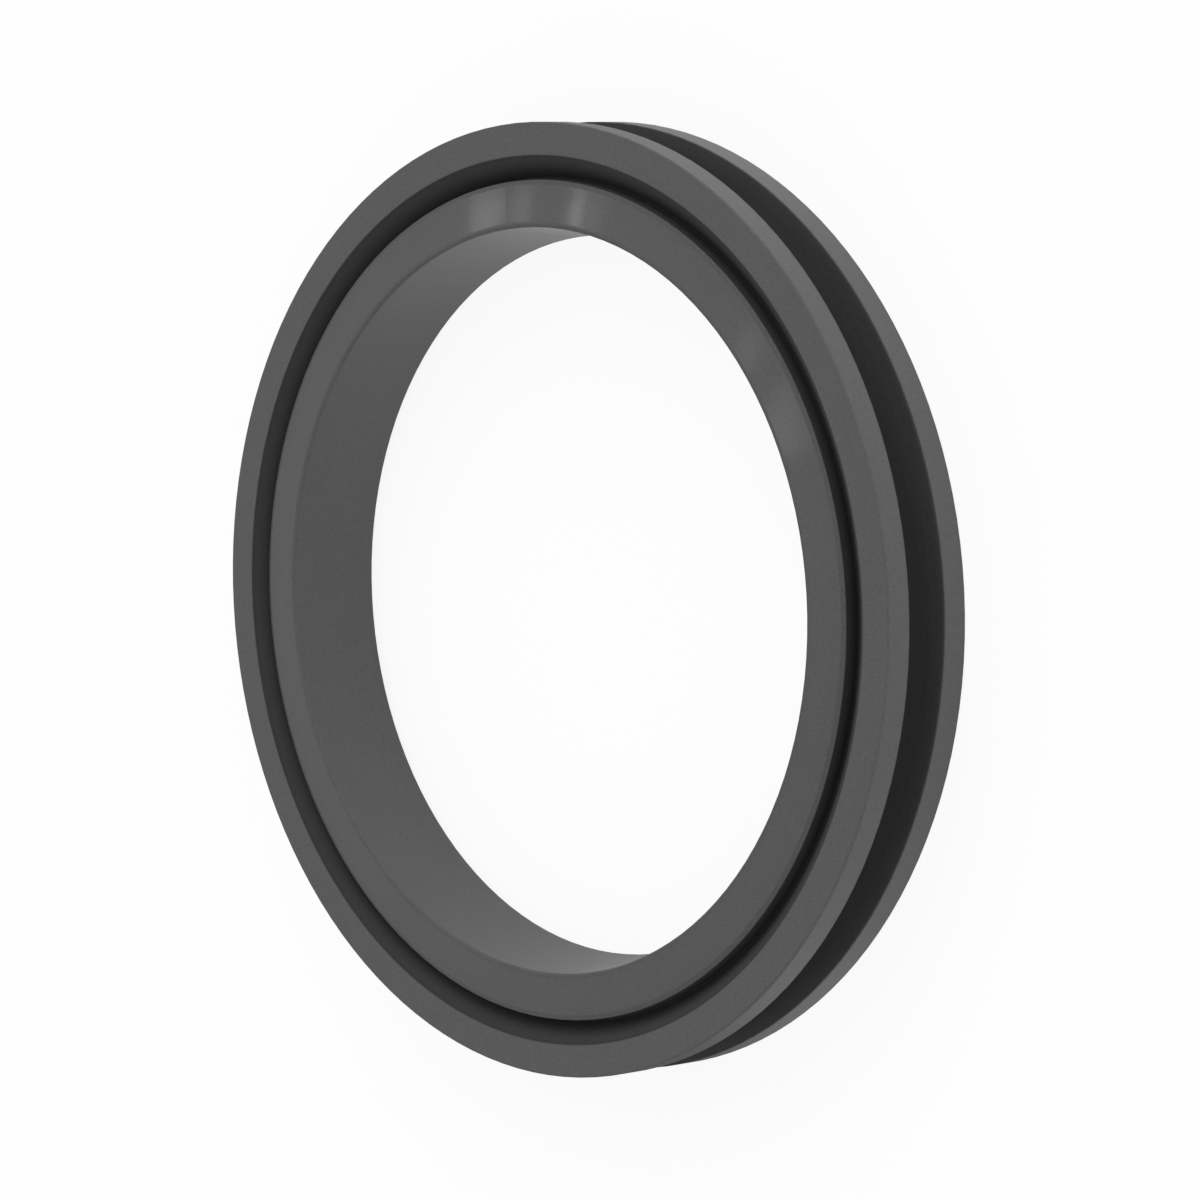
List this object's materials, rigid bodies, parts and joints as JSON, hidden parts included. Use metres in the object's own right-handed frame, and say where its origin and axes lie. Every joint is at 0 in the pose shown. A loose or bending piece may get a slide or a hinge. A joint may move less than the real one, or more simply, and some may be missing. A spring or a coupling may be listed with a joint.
{
  "type": "profiled seal ring",
  "caption": "Moulded elastomer seal ring of near-square section, with a groove round its outside between sealing lips, V grooves in its end faces and a flared bore.",
  "frame": {"origin": "centre of the ring's axis on the plane of the back face, which it lies on", "axes": "+Z along the ring's axis, from the back face towards the front face"},
  "size_m": [0.04, 0.04, 0.0046],
  "materials": {
    "elastomer": "satin moulded"
  },
  "bodies": {
    "root": {"seal_ring": "elastomer"}
  },
  "joints": []
}
